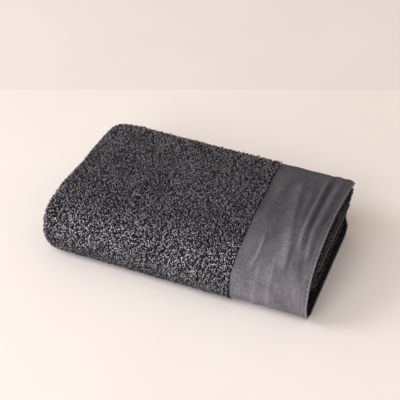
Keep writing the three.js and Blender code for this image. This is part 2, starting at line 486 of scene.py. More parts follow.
class Frame:
    """Sets the layout's millimetres in the part's own frame, in metres."""

    samples: tuple[int, int, int] = (120, 401, 41)

    def __init__(self, low: Vector, high: Vector) -> None:
        """Finds the shift that brings the laid out cloth onto the box of the solids.

        Args:
            low: the box's lowest corner.
            high: its highest corner.
        """
        columns, rows, bend_columns = self.samples
        xs, stations = np.linspace(0, LAYOUT.length, columns), np.linspace(0, LAYOUT.path_end, rows)
        flat = LAYOUT.place(xs[None], 0.0, stations[:, None]).reshape(-1, 3)
        angles = np.linspace(-math.pi / 2, math.pi / 2, bend_columns)
        bend_x = LEFT_TURN.x - (LEFT_TURN.half_width + HALF_CLOTH) * np.cos(angles)
        bend_depth = LEFT_TURN.depth + (LEFT_TURN.reach + HALF_LAYERS) * np.sin(angles)
        bend = LAYOUT.place(bend_x[None], bend_depth[None], stations[:, None]).reshape(-1, 3)
        cloth = np.vstack([flat[flat[:, 0] > LEFT_TURN.x], bend])
        middle = (cloth.min(0) + cloth.max(0)) / 2
        centre = (low.x + high.x) / 2 / MM, (low.y + high.y) / 2 / MM
        self.shift = np.array([centre[0] - middle[0], centre[1] - middle[1], 0.0])

    def metres(self, points: Array) -> Array:
        """The layout's points in metres, in the part's frame."""
        return (points + self.shift) * MM


# Meshes made from arrays


def mesh_object(name: str, points: Array, faces: Array, attributes: dict[str, Array]) -> bpy.types.Object:
    """A smooth mesh object made from arrays.

    Args:
        name: the piece's name.
        points: vertices in metres.
        faces: vertex numbers of the faces, all with as many corners.
        attributes: named values at the vertices, a number or three numbers each.

    Returns:
        The object, linked to the scene.
    """
    mesh = bpy.data.meshes.new(name)
    corners = faces.shape[1]
    mesh.vertices.add(len(points))
    mesh.vertices.foreach_set("co", points.astype(np.float32).ravel())
    mesh.loops.add(faces.size)
    mesh.loops.foreach_set("vertex_index", faces.astype(np.int32).ravel())
    mesh.polygons.add(len(faces))
    mesh.polygons.foreach_set("loop_start", np.arange(0, faces.size, corners, dtype=np.int32))
    mesh.polygons.foreach_set("use_smooth", np.ones(len(faces), dtype=bool))
    mesh.update(calc_edges=True)
    for key, values in attributes.items():
        vector = values.ndim == 2
        layer = mesh.attributes.new(key, "FLOAT_VECTOR" if vector else "FLOAT", "POINT")
        layer.data.foreach_set("vector" if vector else "value", values.astype(np.float32).ravel())
    made = bpy.data.objects.new(name, mesh)
    bpy.context.scene.collection.objects.link(made)
    return made


def ring_faces(rings: int, size: int) -> Array:
    """Four-cornered faces between rings of points that close on themselves.

    Args:
        rings: how many rings there are.
        size: points in each ring.

    Returns:
        Vertex numbers of the faces.
    """
    ring, at = np.meshgrid(np.arange(rings - 1), np.arange(size), indexing="ij")
    a, b = ring * size + at, ring * size + (at + 1) % size
    return np.stack([a, b, b + size, a + size], axis=-1).reshape(-1, 4)


def tubes_round(centres: Array, flat: Array, out: Array, thick: Array, sides: int,
                turn: float = 0.0) -> tuple[Array, Array]:
    """Tubes of yarn or thread.

    Args:
        centres: the middles of the rings, tube by tube.
        flat: a direction square to the tube at each ring.
        out: the direction square to both.
        thick: radii, for each tube or each ring.
        sides: points in each ring.
        turn: share of a side by which the rings are turned.

    Returns:
        Vertices, and four-cornered faces.
    """
    angles = [2 * math.pi * (k + turn) / sides for k in range(sides)]
    lines = [centres + thick * (math.cos(angle) * flat + math.sin(angle) * out) for angle in angles]
    count, rings = centres.shape[:2]
    faces = ring_faces(rings, sides) + (np.arange(count) * rings * sides)[:, None, None]
    return np.stack(lines, axis=2).reshape(-1, 3), faces.reshape(-1, 4)


def cap_faces(first: int, columns: int, flip: bool) -> Array:
    """Four-cornered faces that close one end of a folded sheet.

    Args:
        first: first vertex number of the end's ring.
        columns: points on each of its faces.
        flip: whether the faces are turned over.

    Returns:
        Vertex numbers of the faces.
    """
    k = np.arange(columns - 1)
    far = first + 2 * columns
    faces = np.stack([first + k, first + k + 1, far - 2 - k, far - 1 - k], axis=-1)
    return faces[:, ::-1] if flip else faces


def folded_sheet(name: str, points: Array, placing: Frame, marks: dict[str, Array]) -> bpy.types.Object:
    """A closed sheet of cloth, with its flat coordinates as the attribute cloth.

    Args:
        name: the piece's name.
        points: its points in layout millimetres, a ring of outer and inner face points at each station.
        placing: where the layout lies in the part's frame.
        marks: more named values at its points.

    Returns:
        The object.
    """
    rings, size = points.shape[:2]
    columns = size // 2
    ends = [cap_faces(0, columns, True), cap_faces((rings - 1) * size, columns, False)]
    along = arc_lengths(points[rings // 4][:columns])
    along = np.concatenate([along, along[::-1]])
    across = arc_lengths(points[:, columns // 2])
    inner_face = np.arange(size) >= columns
    cloth = np.stack(
        [np.broadcast_to(a, (rings, size)) for a in (along, across[:, None], inner_face)], axis=-1
    )
    marks = {"cloth": (cloth * np.array([MM, MM, 1.0])).reshape(-1, 3)} | marks
    faces = np.vstack([ring_faces(rings, size), *ends])
    return mesh_object(name, placing.metres(points.reshape(-1, 3)), faces, marks)


# Terry cloth


class Swell(NamedTuple):
    """A broad soft rise or hollow of the pile: its middle in the layout, its half sizes and its height."""

    x: float
    y: float
    wide: float
    deep: float
    height: float


@dataclass
class TerryCloth:
    """The looped cloth's ground: a sheet on the towel's folds, from the hem in to the loose end."""

    frame: Frame
    ground_depth: float = 0.38
    under_band_depth: float = 0.68
    hem_inset: float = 1.0
    seam_gap: float = 1.5
    end_turn_in: tuple[float, float] = (1.0, 0.2)
    band_columns: int = 12
    face_columns: int = 78
    turn_columns: tuple[int, int, int] = (16, 12, 10)
    hidden_columns: tuple[float, float, int] = (40, 290, 16)
    end_columns: tuple[float, ...] = (300, 308, 315, 320, 324)
    loose_columns: tuple[float, ...] = (328, LOOSE_END_X)
    row_steps: tuple[int, int, int] = (30, 48, 11)
    bend_rows: int = 21
    swell_height: float = 0.35
    swell_size: float = 34.0
    swell_full_at: float = 60.0
    swell_from_seam: float = 30.0
    swells: tuple[Swell, ...] = (
        Swell(60, 150, 34, 16, -0.7),
        Swell(118, 118, 46, 18, -1.0),
        Swell(190, 140, 26, 34, -0.9),
        Swell(150, 66, 50, 18, -0.9),
        Swell(82, 62, 26, 22, 0.9),
        Swell(215, 84, 16, 30, 0.8),
        Swell(112, 12, 40, 18, 1.0),
        Swell(196, 14, 30, 22, -0.8),
        Swell(46, 18, 22, 24, -0.8),
        Swell(120, 176, 90, 20, 2.6),
    )

    def strip(self) -> Strip:
        """The ground sheet's columns.

        Returns:
            The strip, from the hem round the left fold, back, and in to the loose end.
        """
        half, mm = HALF_LAYERS, HALF_CLOTH
        face_offset = mm - self.ground_depth * LAYER_MM, half - self.ground_depth
        end_offset = mm - self.end_turn_in[0], half - self.end_turn_in[1]
        over, under = (mm, half), (-mm, -half)
        left_steps, end_steps, inner_steps = self.turn_columns
        seam, left_x, open_x, inner_x = LAYOUT.seam_x, LEFT_TURN.x, END_TURN.x, INNER_TURN.x
        band = np.linspace(LAYOUT.length - self.hem_inset, seam, self.band_columns)
        face = np.linspace(seam - self.seam_gap, left_x, self.face_columns)
        hidden = np.concatenate([np.linspace(*self.hidden_columns), self.end_columns])
        second, third, fourth = SECOND_LAYER, THIRD_LAYER, FOURTH_LAYER
        return (
            Strip()
            .leg(band, self.under_band_depth, 2 * half)
            .leg(face, self.ground_depth, 2 * half)
            .turn(LEFT_TURN, -1, 1, face_offset, under, left_steps)
            .leg([left_x, *hidden, open_x], fourth + half, fourth - half)
            .turn(END_TURN, 1, -1, end_offset, under, end_steps)
            .leg([open_x, *hidden[::-1], inner_x], third - half, third + half)
            .turn(INNER_TURN, -1, -1, under, over, inner_steps)
            .leg([inner_x, *hidden, *self.loose_columns], second + half, second - half)
        )

    def stations(self) -> Array:
        """Stations across the width, closer together on the bends.

        Returns:
            The stations.
        """
        outward = LAYOUT.outward(self.row_steps)
        bend = np.linspace(LAYOUT.fold_start, LAYOUT.fold_end, self.bend_rows)
        return np.concatenate([outward, bend, (LAYOUT.path_end - outward)[::-1]])

    def build(self) -> bpy.types.Object:
        """The ground sheet, with soft swells in its outer face.

        Returns:
            The object.
        """
        strip = self.strip()
        ring = np.array(strip.outer + strip.inner[::-1])
        points = LAYOUT.place(ring[None, :, 0], ring[None, :, 1], self.stations()[:, None])
        return folded_sheet("terry_cloth", self.swell(points), self.frame, {})

    def swell(self, points: Array) -> Array:
        """Adds the cloth's soft unevenness to the height of layout points.

        Args:
            points: the points, with the coordinates in the last axis.

        Returns:
            The raised points.
        """
        x, y, z = points[..., 0], points[..., 1], points[..., 2]
        share = np.clip(z / self.swell_full_at, 0, 1)
        share = share * np.clip((LAYOUT.seam_x - x) / self.swell_from_seam, 0, 1)
        rise = self.swell_height * wander(x, y, self.swell_size, 11)
        for swell in self.swells:
            far = ((x - swell.x) / swell.wide) ** 2 + ((y - swell.y) / swell.deep) ** 2
            rise = rise + swell.height * np.exp(-far)
        rise = rise * share
        return points + np.stack([np.zeros_like(rise), np.zeros_like(rise), rise], axis=-1)


# Pile


class Roots(NamedTuple):
    """Where loops stand: their places in layout millimetres, outward directions and tangents."""

    at: Array
    normal: Array
    tangent: Array


class Ring(NamedTuple):
    """A ring of a loop's yarn, in shares of the loop's half span, height and twist."""

    wide: float
    high: float
    turned: float


@dataclass(frozen=True)
class Patch:
    """A stretch of cloth that carries loops.

    over and under are lines of length position and depth, on the cloth's face and just below it. shade is
    painted shade on the loops' colour: 0 in the open, growing towards 1 deep in the folds, and under 0 where
    painted light makes the pile paler.
    """

    name: str
    over: Line
    under: Line
    stations: tuple[float, float]
    pitch: float = 1.82
    height: float = 2.35
    shade: float = 0.0


@dataclass(frozen=True)
class LoopYarn:
    """Sizes of the pile's loops, in millimetres, and the painted light and shade on their colour."""

    rings: tuple[Ring, ...] = (
        Ring(-1.0, 0.0, 1.0),
        Ring(-0.95, 0.9, 0.6),
        Ring(0.7, 1.0, -0.6),
        Ring(1.0, 0.0, -1.0),
    )
    sides: int = 3
    side_turn: float = 0.25
    radius: float = 0.4
    radius_range: tuple[float, float] = (0.8, 1.2)
    half_span: float = 0.62
    span_range: tuple[float, float] = (0.75, 1.3)
    root: float = 0.5
    twist: float = 0.65
    lean: float = 1.3
    lean_power: float = 0.7
    bend_power: float = 1.4
    drift: float = 0.9
    drift_size: float = 10.0
    clump: float = 0.3
    clump_size: float = 6.0
    clump_contrast: float = 1.6
    # The values below paint light on the towel's sides and paint shade on its top, near the floor and in the
    # folds.
    shaded_loss: float = 0.7
    lit_side_from: float = 6.0
    lit_side_over: float = 40.0
    top_shade_from: float = 52.0
    top_shade_over: float = 24.0

    def painted_light(self, height: Array, shade: float) -> Array:
        """Painted light and shade on the pile's colour: painted light on the sides, painted shade on the top,
        near the floor and in the folds.

        Args:
            height: heights over the surface.
            shade: how much painted shade the loops get, growing deep in the folds.

        Returns:
            The values, 1 on the open sides where the painted light is strongest, and under 0 in the folds
            where the painted shade is.
        """
        sides = ease((height - self.lit_side_from) / self.lit_side_over)
        sides = sides * (1 - ease((height - self.top_shade_from) / self.top_shade_over))
        return sides * (1 - shade) - self.shaded_loss * shade

    def tones(self, at: Array, rng: np.random.Generator) -> Array:
        """Each loop's tone, partly shared with the loops round it.

        Args:
            at: root places.
            rng: the draws.

        Returns:
            Tones from 0 to 1.
        """
        alone = rng.uniform(0, 1, len(at))
        shared = 0.5 + 0.5 * np.clip(wander(at[:, 0], at[:, 1] + at[:, 2], self.clump_size, 53), -1, 1)
        return np.clip(0.5 + self.clump_contrast * (mix(alone, shared, self.clump) - 0.5), 0, 1)

    def leans(self, roots: Roots, side: Array, rng: np.random.Generator) -> Array:
        """How far each loop's top leans over.

        Args:
            roots: where the loops stand.
            side: directions square to their tangents and normals.
            rng: the draws.

        Returns:
            Vectors in millimetres.
        """
        turn = rng.uniform(0, 2 * math.pi, len(side))[:, None]
        lean = self.lean * rng.uniform(0, 1, len(side))[:, None] ** self.lean_power
        lean = lean * (np.cos(turn) * roots.tangent + np.sin(turn) * side)
        at = roots.at
        for axis, seed in ((roots.tangent, 51), (side, 52)):
            drift = wander(at[:, 0], at[:, 1] + at[:, 2], self.drift_size, seed)
            lean = lean + self.drift * drift[:, None] * axis
        return lean

    def tubes(self, roots: Roots, height: Array, shade: float, seed: int) -> tuple[Array, Array, Array]:
        """Loops of yarn, each an arch of a few rings.

        Args:
            roots: where the loops stand.
            height: height of each loop.
            shade: how much painted shade they get, growing deep in the folds.
            seed: seed of the loops' turn, lean and size.

        Returns:
            Vertices, four-cornered faces, and for each vertex its loop's tone, its share of the loop's
            height and the painted light and shade on the pile there.
        """
        rng = np.random.default_rng(seed)
        at, normal, tangent = roots
        count = len(at)
        turn = rng.uniform(0, 2 * math.pi, count)[:, None]
        side = np.cross(normal, tangent)
        along = np.cos(turn) * tangent + np.sin(turn) * side
        across = np.cross(normal, along)
        lean = self.leans(roots, side, rng)
        span = self.half_span * rng.uniform(*self.span_range, count)
        twist = self.twist * rng.uniform(-1, 1, count)
        centres = []
        for ring in self.rings:
            rise = ring.high * height - self.root * (ring.high == 0)
            centres.append(
                at + along * (ring.wide * span)[:, None] + normal * rise[:, None]
                + across * (ring.turned * twist)[:, None] + lean * ring.high**self.bend_power
            )
        centres = np.stack(centres, axis=1)
        heading = unit(np.gradient(centres, axis=1))
        out = unit(np.cross(heading, across[:, None]))
        flat = np.broadcast_to(across[:, None], out.shape)
        thick = self.radius * rng.uniform(*self.radius_range, count)[:, None, None]
        points, faces = tubes_round(centres, flat, out, thick, self.sides, self.side_turn)
        tone = self.tones(at, rng)[:, None, None]
        share = np.array([ring.high for ring in self.rings])[None, :, None]
        painted_light = self.painted_light(at[:, 2], shade)[:, None, None]
        grid = (count, len(self.rings), self.sides)
        marks = np.stack([np.broadcast_to(a, grid) for a in (tone, share, painted_light)], axis=-1)
        return points, faces, marks.reshape(-1, 3)


@dataclass
class Pile:
    """All the loops that show, in one piece for each side of the towel."""

    frame: Frame
    terry: TerryCloth
    yarn: LoopYarn = LoopYarn()
    jitter: float = 0.42
    fine_rows: int = 700
    tangent_step: float = 0.4
    station_step: float = 0.02
    uneven: float = 0.12
    uneven_size: float = 30.0
    height_range: tuple[float, float] = (0.7, 1.2)
    lowest: float = 0.05
    seam_gap: float = 0.9
    under_offset: float = 0.3
    left_bend: tuple[tuple[float, float], int] = ((-88, 84), 17)
    open_bend: tuple[tuple[float, float], int] = ((-88, 88), 9)
    open_reach: float = 0.2
    pocket: tuple[float, float, float, float] = (292.0, 331.0, 0.84, 0.6)
    roll: tuple[float, float, float, float] = (304.0, 331.5, 1.08, 1.4)
    rim: tuple[Line, Line] = (((331.6, 0.66), (331.6, 0.82)), ((330.0, 0.66), (330.0, 0.82)))
    edge_rows: int = 3
    edge_pitch: float = 2.1
    edge_spread: float = 0.72
    edge_jitter: float = 0.1
    edge_height: float = 1.7
    edge_inset: float = 0.15
    edge_step: float = 0.6

    @staticmethod
    def flat_face(start: float, end: float, depth: float, under: float) -> tuple[Line, Line]:
        """A level face between two length positions, and the line just below it."""
        return ((start, depth), (end, depth)), ((start, under), (end, under))

    @staticmethod
    def bend_face(fold: Turn, hand: int, down: int, reach: float, angles: tuple[float, float],
                  steps: int) -> tuple[Line, Line]:
        """The outer face of a fold, and the line just below it.

        Args:
            fold: the fold's sizes.
            hand: -1 at the left end and 1 at the open end.
            down: 1 where the depth grows along the fold, else -1.
            reach: how far the face stands from the cloth's middle, in layers.
            angles: first and last angle, in degrees from the fold's tip.
            steps: points on the face.

        Returns:
            Both lines.
        """
        turn = np.radians(np.linspace(*angles, steps))

        def line(wide: float, deep: float) -> Line:
            """Points of the fold at an offset from its middle."""
            xs = fold.x + hand * (fold.half_width + wide) * np.cos(turn)
            return tuple(zip(xs.tolist(), (fold.depth + down * (fold.reach + deep) * np.sin(turn)).tolist()))

        return line(reach * LAYER_MM, reach), line(-1.0, -0.2)

    def patches(self) -> list[Patch]:
        """Every stretch of cloth whose loops show.

        Returns:
            The patches, from the top round to the mouth at the open end.
        """
        ground = self.terry.ground_depth
        face = self.flat_face(LAYOUT.seam_x - self.seam_gap, LEFT_TURN.x, ground, ground + self.under_offset)
        foot, fold, fold_end, end = LAYOUT.section_end, LAYOUT.fold_start, LAYOUT.fold_end, LAYOUT.path_end
        left = self.bend_face(LEFT_TURN, -1, 1, HALF_LAYERS - ground, *self.left_bend)
        open_bend = self.bend_face(END_TURN, 1, -1, self.open_reach, *self.open_bend)
        pocket, roll = self.flat_face(*self.pocket), self.flat_face(*self.roll)
        # Painted shade darkens the loops' colour in the mouth at the open end; on the back a value under 0
        # paints light.
        return [
            Patch("pile_top_far", *face, (0.05, 3.4)),
            Patch("pile_top_near", *face, (3.4, 7.0)),
            Patch("pile_front", *face, (7.0, foot + 0.25)),
            Patch("pile_under", *face, (foot + 0.3, fold), pitch=4.6, height=1.8),
            Patch("pile_back", *face, (fold, fold_end), pitch=2.15, shade=-0.4),
            Patch("pile_left", *left, (0.02, end - 0.02), pitch=1.95),
            Patch("pile_open_end", *open_bend, (0.05, end - 0.05), pitch=2.25, height=1.5, shade=0.8),
            Patch("pile_pocket", *pocket, (8.0, fold + 1.0), pitch=2.6, height=1.5, shade=0.9),
            Patch("pile_roll", *roll, (8.0, fold), pitch=2.6, height=1.5, shade=0.9),
            Patch("pile_hem_rim", *self.rim, (0.9, foot), pitch=2.2, height=1.1, shade=0.8),
        ]

    def roots(self, patch: Patch, seed: int) -> Roots:
        """Where a patch's loops stand.

        Args:
            patch: the patch.
            seed: seed of the loops' places.

        Returns:
            The loops' roots.
        """
        over, under = np.array(patch.over), np.array(patch.under)
        run = arc_lengths(over * np.array([1.0, LAYER_MM]))
        middle = over[len(over) // 2]
        fine = np.linspace(*patch.stations, self.fine_rows)
        reach = arc_lengths(LAYOUT.place(middle[0], middle[1], fine))
        rng = np.random.default_rng(seed)
        count_run = max(2, round(run[-1] / patch.pitch))
        count_reach = max(2, round(reach[-1] / patch.pitch))
        i, j = np.meshgrid(np.arange(count_run), np.arange(count_reach), indexing="ij")
        i = i + 0.5 * (j % 2) + self.jitter * rng.uniform(-1, 1, i.shape)
        j = j + 0.5 + self.jitter * rng.uniform(-1, 1, j.shape)
        c = np.clip(i.ravel() / count_run, 0, 1) * run[-1]
        station = np.interp(np.clip(j.ravel() / count_reach, 0, 1) * reach[-1], reach, fine)

        def at(line: Array, where: Array, stations: Array) -> Array:
            """Layout points on a line of the cloth, with the ground's swells."""
            x, depth = np.interp(where, run, line[:, 0]), np.interp(where, run, line[:, 1])
            return self.terry.swell(LAYOUT.place(x, depth, stations))

        here = at(over, c, station)
        step, station_step = self.tangent_step, self.station_step
        tangent = unit(at(over, c + step, station) - at(over, c - step, station) + TINY)
        across = at(over, c, station + station_step) - at(over, c, station - station_step)
        normal = unit(np.cross(tangent, across))
        outward = here - at(under, c, station)
        normal = normal * np.sign(np.sum(normal * outward, axis=1, keepdims=True))
        return Roots(here, normal, square_to(tangent, normal))

    def middle_line(self) -> Array:
        """The cloth's middle from the seam in to the loose end.

        Returns:
            Length positions and depths.
        """
        angles = np.linspace(-math.pi / 2, math.pi / 2, 21)[1:-1]

        def arc(fold: Turn, hand: int, down: int, offset: float = 0.0) -> Array:
            """The middle of a fold, or a line beside it at an offset in layers."""
            xs = fold.x + hand * (fold.half_width + offset * LAYER_MM) * np.cos(angles)
            return np.column_stack([xs, fold.depth + down * (fold.reach + offset) * np.sin(angles)])

        outer = (self.terry.ground_depth + 2 * HALF_LAYERS) / 2
        inward = outer - (LEFT_TURN.depth - LEFT_TURN.reach)
        return np.vstack([
            [(LAYOUT.seam_x, outer), (LEFT_TURN.x, outer)],
            arc(LEFT_TURN, -1, 1, -inward),
            [(LEFT_TURN.x, FOURTH_LAYER - 0.1), (END_TURN.x, FOURTH_LAYER)],
            arc(END_TURN, 1, -1),
            [(END_TURN.x, THIRD_LAYER), (INNER_TURN.x, THIRD_LAYER)],
            arc(INNER_TURN, -1, -1),
            [(INNER_TURN.x, SECOND_LAYER), (LOOSE_END_X - 1, SECOND_LAYER)],
        ])

    def edge_roots(self, station: float, inner: float, seed: int) -> Roots:
        """Where the loops along the cloth's edge on the far side stand, in rows along its thickness.

        Args:
            station: the station of the edge.
            inner: a station a little way inside the cloth.
            seed: seed of the loops' places.

        Returns:
            The loops' roots.
        """
        rng = np.random.default_rng(seed)
        line = self.middle_line()
        run = arc_lengths(line * np.array([1.0, LAYER_MM]))
        rows = self.edge_rows
        count = rows * round(run[-1] / self.edge_pitch)
        at = (np.arange(count) // rows + rng.uniform(0, 1, count)) * self.edge_pitch

        def on_line(where: Array) -> Array:
            """Length positions and depths at distances along the line."""
            return np.column_stack([np.interp(where, run, line[:, 0]), np.interp(where, run, line[:, 1])])

        ahead = on_line(at + self.edge_step) - on_line(at - self.edge_step)
        ahead = unit(ahead * np.array([1.0, LAYER_MM]) + TINY)
        row = self.edge_spread * ((np.arange(count) % rows) / (rows - 1) - 0.5)
        row = row + rng.uniform(-self.edge_jitter, self.edge_jitter, count)
        x, depth = (on_line(at) + np.column_stack([-ahead[:, 1] * LAYER_MM, ahead[:, 0]]) * row[:, None]).T
        here = LAYOUT.place(x, depth, station)
        normal = unit(here - LAYOUT.place(x, depth, inner))
        tangent = unit(LAYOUT.place(x + ahead[:, 0], depth + ahead[:, 1] / LAYER_MM, station) - here)
        return Roots(here, normal, square_to(tangent, normal))

    def piece(self, name: str, roots: Roots, height: float, shade: float, seed: int) -> bpy.types.Object:
        """One piece of loops.

        Args:
            name: the piece's name.
            roots: where its loops stand.
            height: their height in millimetres.
            shade: how much painted shade they get, growing deep in the folds.
            seed: seed of their shapes.

        Returns:
            The object.
        """
        rng = np.random.default_rng(seed + 1)
        x, y = roots.at[:, 0], roots.at[:, 1]
        uneven = 1 + self.uneven * wander(x, y, self.uneven_size, seed + 2)
        heights = height * rng.uniform(*self.height_range, len(x)) * uneven
        points, faces, marks = self.yarn.tubes(roots, heights, shade, seed)
        points[:, 2] = np.maximum(points[:, 2], self.lowest)
        return mesh_object(name, self.frame.metres(points), faces, {"loop": marks})

    def build(self) -> list[bpy.types.Object]:
        """Every piece of loops.

        Returns:
            The objects, one for each patch and one for the far edges.
        """
        made = []
        for number, patch in enumerate(self.patches()):
            seed = 100 + 10 * number
            made.append(self.piece(patch.name, self.roots(patch, seed), patch.height, patch.shade, seed))
        over = self.edge_roots(0.0, self.edge_inset, 300)
        inside = self.edge_roots(LAYOUT.path_end, LAYOUT.path_end - self.edge_inset, 310)
        edges = Roots(*(np.concatenate(pair) for pair in zip(over, inside)))
        made.append(self.piece("pile_far_edges", edges, self.edge_height, 0.0, 390))
        return made


# Border band


class Crease(NamedTuple):
    """A soft crease of the band.

    across and hem are matching distances, in millimetres, from the far edge and from the hem. left and
    right are its half widths towards the seam and towards the hem, and height is above the band, or below
    it if negative.
    """

    across: tuple[float, ...]
    hem: tuple[float, ...]
    left: float
    right: float
    height: float


@dataclass
class BorderBand:
    """The flat woven band, with its creases, turned hem and topstitch."""

    frame: Frame
    outer_depth: float = 0.36
    inner_depth: float = 0.57
    deepest_inner: float = 0.655
    corner: float = 7.0
    corner_clear: float = 40.0
    edge_columns: tuple[float, ...] = (0.0, 0.25, 0.6, 1.1)
    bead_columns: tuple[float, float, float] = (1.6, 8.1, 0.5)
    body_columns: tuple[float, float, int] = (9.0, 2.0, 76)
    seam_columns: tuple[float, ...] = (1.2, 0.5, 0.0)
    row_steps: tuple[int, int, int] = (89, 89, 19)
    fold_rows: int = 25
    hidden_rows: int = 34
    creases: tuple[Crease, ...] = (
        Crease((6, 20, 52, 91, 115, 140), (29.5, 28.2, 26.3, 26.9, 26.6, 25.4), 5.0, 3.2, 1.5),
        Crease((0, 13, 93, 138, 164, 180), (22.5, 22.7, 22.5, 18, 13.6, 12), 2.6, 2.6, -0.55),
        Crease((0, 69, 113, 132, 150), (13.1, 13, 16.5, 14.2, 12.5), 5.5, 3.6, 1.1),
        Crease((12, 22, 80, 127, 158, 176), (32.4, 32, 31.4, 30.9, 30.7, 30), 2.4, 2.4, -0.5),
        Crease((26, 50, 77, 122, 152, 170), (55.5, 52.8, 49.1, 40.9, 36.2, 34), 9.0, 4.4, 0.95),
        Crease((122, 130, 153, 169, 176), (68, 68, 67.7, 70.3, 71), 3.6, 2.2, 0.9),
        Crease((126, 130, 153, 169), (71.5, 71.5, 71.5, 74), 1.8, 1.8, -0.4),
        Crease((88, 95, 105, 112), (70.8, 71.4, 73.9, 75), 4.0, 2.6, -0.4),
        Crease((20, 60, 100, 120), (79, 77, 76, 77), 6.0, 4.0, 0.3),
        Crease((0, 20, 45, 74), (70, 71, 71.5, 74), 7.0, 4.5, 0.4),
        Crease((36, 60, 84, 104), (40, 38.6, 37.6, 37.4), 3.4, 2.6, 0.35),
        Crease((150, 180, 225), (47, 45, 44), 3.4, 2.4, 0.4),
        Crease((165, 195, 230), (60, 61, 61), 3.6, 2.4, 0.35),
        Crease((60, 100, 130, 160), (6.6, 8.2, 8.8, 8.0), 2.4, 2.4, -0.25),
    )
    crease_power: float = 1.8
    depth_gain: float = 3.3
    deepest: float = 1.15
    fade: float = 16.0
    edge_calm: float = 34.0
    edge_share: float = 0.25
    # Relief at which the creases' painted light and shade is full.
    crease_shading_height: float = 3.0
    ripple: float = 0.12
    ripple_size: float = 9.0
    ripple_stretch: float = 0.09
    ripple_across: tuple[float, float] = (130.0, 60.0)
    ripple_clear: float = 5.0
    ripple_fade: float = 8.0
    swell: float = 0.28
    swell_size: float = 26.0
    swell_stretch: float = 0.45
    swell_clear: float = 6.0
    swell_fade: float = 10.0
    hem_width: float = 7.0
    hem_rise: float = 0.35
    hem_step: float = 1.2
    bead_width: float = 2.0
    bead_rise: float = 0.75
    bead_from_hem: float = 1.0
    seam_bead: float = 0.3
    groove: float = 0.4
    groove_width: float = 0.8
    groove_share: float = 0.75
    pucker: float = 0.12
    pucker_out: float = 1.8
    pucker_width: float = 1.6
    rim_width: float = 0.5
    rim_close: tuple[float, float] = (0.55, 0.25)
    stitch_first: float = 1.5
    stitch_pitch: float = 5.5
    stitch_length: float = 3.6
    stitch_from_hem: float = 2.5
    stitch_wander: float = 0.12
    stitch_slant: float = 0.35
    stitch_radius: float = 0.3
    stitch_taper: float = 0.8
    stitch_rise: float = 0.3
    stitch_sink: float = 0.12
    stitch_rings: int = 5
    stitch_sides: int = 6
    hole_radius: float = 0.5
    hole_squash: float = 0.8
    hole_gap: float = 0.35
    hole_out: float = 0.75
    hole_lift: float = 0.07
    hole_sides: int = 8

    @property
    def width(self) -> float:
        """Width of the band along the towel."""
        return LAYOUT.band_width

    def columns(self) -> Array:
        """Distances from the hem at which the band has columns, closest at the hem's bead and topstitch.

        Returns:
            The distances.
        """
        first, last, count = self.body_columns
        body = np.linspace(first, self.width - last, count)
        seam = self.width - np.array(self.seam_columns)
        return np.concatenate([self.edge_columns, np.arange(*self.bead_columns), body, seam])

    def stations(self) -> Array:
        """Stations across the towel's width, close together where the band shows.

        Returns:
            The stations.
        """
        shown = LAYOUT.outward(self.row_steps)
        fold = np.linspace(LAYOUT.fold_start, LAYOUT.fold_end, self.fold_rows)
        hidden = np.linspace(LAYOUT.fold_end, LAYOUT.path_end, self.hidden_rows)[1:]
        return np.concatenate([shown, fold, hidden])

    def crease_relief(self, hem: Array, across: Array) -> Array:
        """Height of the band's creases.

        Args:
            hem: distances from the hem.
            across: distances from the far edge.

        Returns:
            Heights in millimetres.
        """
        total = np.zeros(np.broadcast(hem, across).shape)
        calm = mix(self.edge_share, 1, ease(across / self.edge_calm))
        for crease in self.creases:
            offset = hem - np.interp(across, crease.across, crease.hem)
            wide = np.where(offset > 0, crease.left, crease.right)
            shape = np.exp(-np.abs(offset / wide) ** self.crease_power)
            start, end = crease.across[0], crease.across[-1]
            begun = 1.0 if start <= 0 else ease((across - start) / self.fade)
            height = self.depth_gain * crease.height
            total = total + height * shape * begun * calm * ease((end - across) / self.fade)
        return np.where(total < 0, self.deepest * np.tanh(total / self.deepest), total)

    def relief(self, hem: Array, across: Array) -> Array:
        """Height of the band's creases, ripples, hem and stitched groove.

        Args:
            hem: distances from the hem.
            across: distances from the far edge.

        Returns:
            Heights in millimetres.
        """
        total = self.crease_relief(hem, across)
        low = ease((across - self.ripple_across[0]) / self.ripple_across[1])
        low = low * ease((hem - self.ripple_clear) / self.ripple_fade)
        low = low * ease((self.width - hem) / self.ripple_fade)
        total = total + self.ripple * low * wander(hem, across * self.ripple_stretch, self.ripple_size, 5)
        clear = ease((hem - self.swell_clear) / self.swell_fade)
        total = total + self.swell * clear * wander(hem, across * self.swell_stretch, self.swell_size, 6)
        total = total + self.hem_rise * ease((self.hem_width - hem) / self.hem_step)
        bead = 1 - ((hem - self.bead_from_hem) / self.bead_width) ** 2
        total = total + self.bead_rise * np.clip(bead, 0, 1)
        pull = np.cos(2 * math.pi * across / self.stitch_pitch)
        near = bell(hem - self.stitch_from_hem, self.groove_width)
        total = total - self.groove * near * (self.groove_share - (1 - self.groove_share) * pull)
        beside = bell(hem - self.stitch_from_hem - self.pucker_out, self.pucker_width)
        total = total + self.pucker * pull * beside
        return total + self.seam_bead * bell(self.width - hem - self.bead_from_hem, 1.0)

    def length_at(self, hem: Array, across: Array) -> Array:
        """Length positions at distances from the hem, which is drawn in round the far corner."""
        drawn = self.corner - np.sqrt(self.corner**2 - np.clip(self.corner - across, 0, self.corner) ** 2)
        return LAYOUT.length - hem - drawn * (1 - hem / self.width)

    def across_of(self, stations: Array) -> Array:
        """Distances from the far edge at the stations, measured clear of the drawn-in corner.

        Args:
            stations: stations across the width.

        Returns:
            The distances in millimetres.
        """
        fine = np.linspace(0, LAYOUT.path_end, FINE)
        run = arc_lengths(LAYOUT.place(LAYOUT.length - self.corner_clear, self.outer_depth, fine))
        return np.interp(stations, fine, run)

